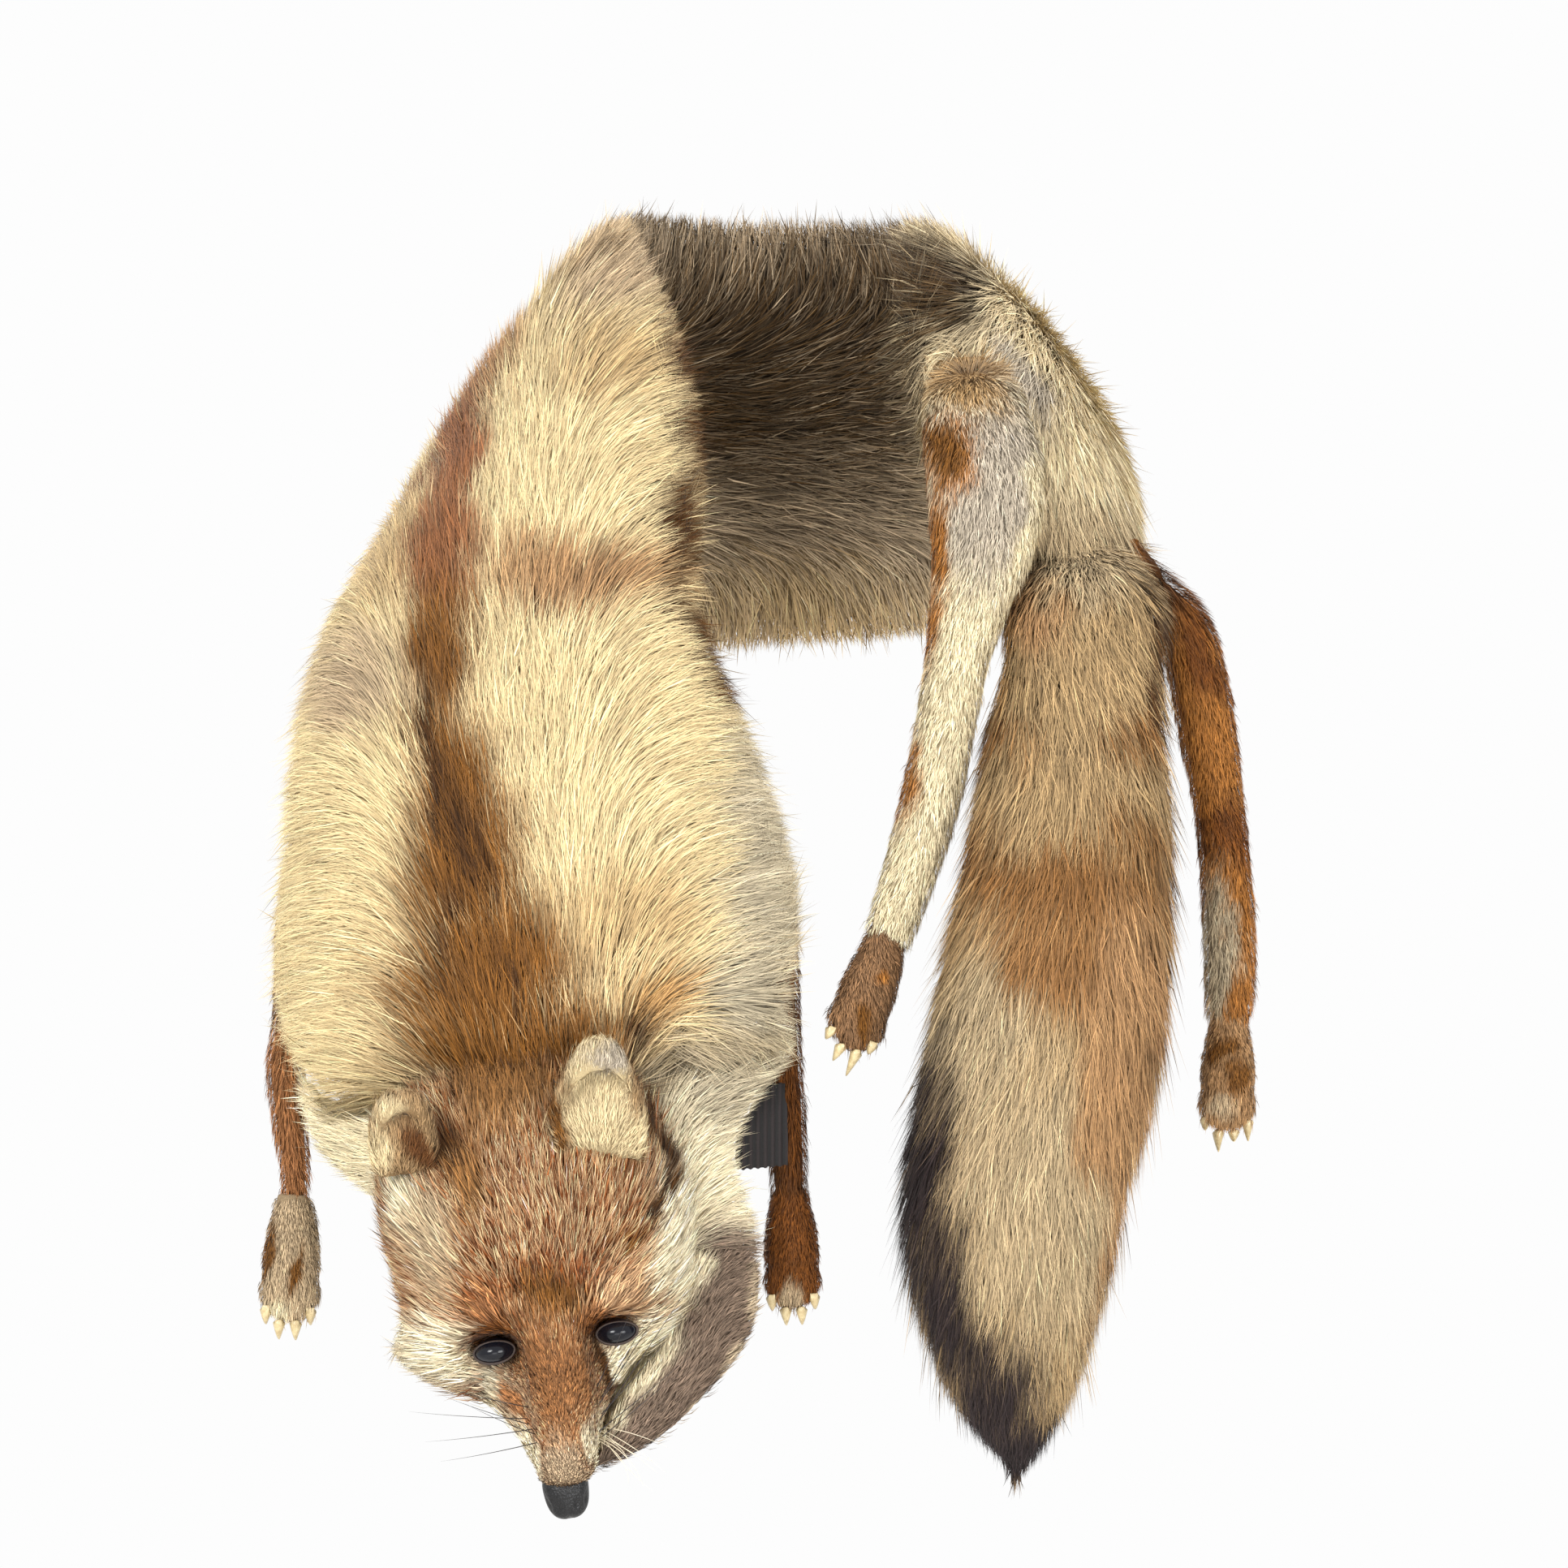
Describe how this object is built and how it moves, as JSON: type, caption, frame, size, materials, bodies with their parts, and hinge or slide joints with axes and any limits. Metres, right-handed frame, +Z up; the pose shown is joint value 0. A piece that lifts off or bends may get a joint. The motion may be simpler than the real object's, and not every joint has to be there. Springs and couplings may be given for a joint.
{
  "type": "fox fur stole",
  "caption": "Whole red fox skin worn round the neck as a collar stole, with head, ears, glass eyes, legs, clawed paws and bushy tail hanging in front.",
  "frame": {"origin": "where the stole rests on the back of the wearer's neck", "axes": "+Z up, -Y the way the wearer faces, +X towards the wearer's left"},
  "size_m": [0.3733, 0.3047, 0.4859],
  "materials": {
    "golden_fur": "long soft pile, matt, golden with a brown back stripe",
    "sand_fur": "long soft pile, matt, sandy brown with pale tips",
    "rust_fur": "short dense pile, satin, rust brown",
    "cream_fur": "soft pile, matt, cream and white",
    "brush_fur": "long bushy pile, matt, banded tan and brown with a dark tip",
    "paw_fur": "very short pile, matt, tan brown",
    "grey_fur": "short sheared pile, matt, mauve grey",
    "eye_glass": "polished, nearly black",
    "nose_leather": "fine pebbled, semi-gloss black",
    "claw_horn": "polished horn, ivory",
    "elastic_cloth": "ribbed elastic, dark brown"
  },
  "bodies": {
    "root": {"ear_left": "cream_fur", "ear_right": "cream_fur", "elastic_loop": "elastic_cloth", "eye_left": "eye_glass", "eye_right": "eye_glass", "foreclaw_left_1": "claw_horn", "foreclaw_left_2": "claw_horn", "foreclaw_left_3": "claw_horn", "foreclaw_left_4": "claw_horn", "foreclaw_right_1": "claw_horn", "foreclaw_right_2": "claw_horn", "foreclaw_right_3": "claw_horn", "foreclaw_right_4": "claw_horn", "foreleg_left": "rust_fur", "foreleg_right": "rust_fur", "forepaw_left": "paw_fur", "forepaw_right": "paw_fur", "head_mask": "rust_fur", "hindclaw_left_1": "claw_horn", "hindclaw_left_2": "claw_horn", "hindclaw_left_3": "claw_horn", "hindclaw_left_4": "claw_horn", "hindclaw_right_1": "claw_horn", "hindclaw_right_2": "claw_horn", "hindclaw_right_3": "claw_horn", "hindclaw_right_4": "claw_horn", "hindleg_left": "rust_fur", "hindleg_right": "cream_fur", "hindpaw_left": "paw_fur", "hindpaw_right": "paw_fur", "jaw_flap": "grey_fur", "nose": "nose_leather", "pelt_chest": "golden_fur", "pelt_nape": "sand_fur", "pelt_rump": "sand_fur", "pelt_throat": "cream_fur", "tail": "brush_fur"}
  },
  "joints": []
}
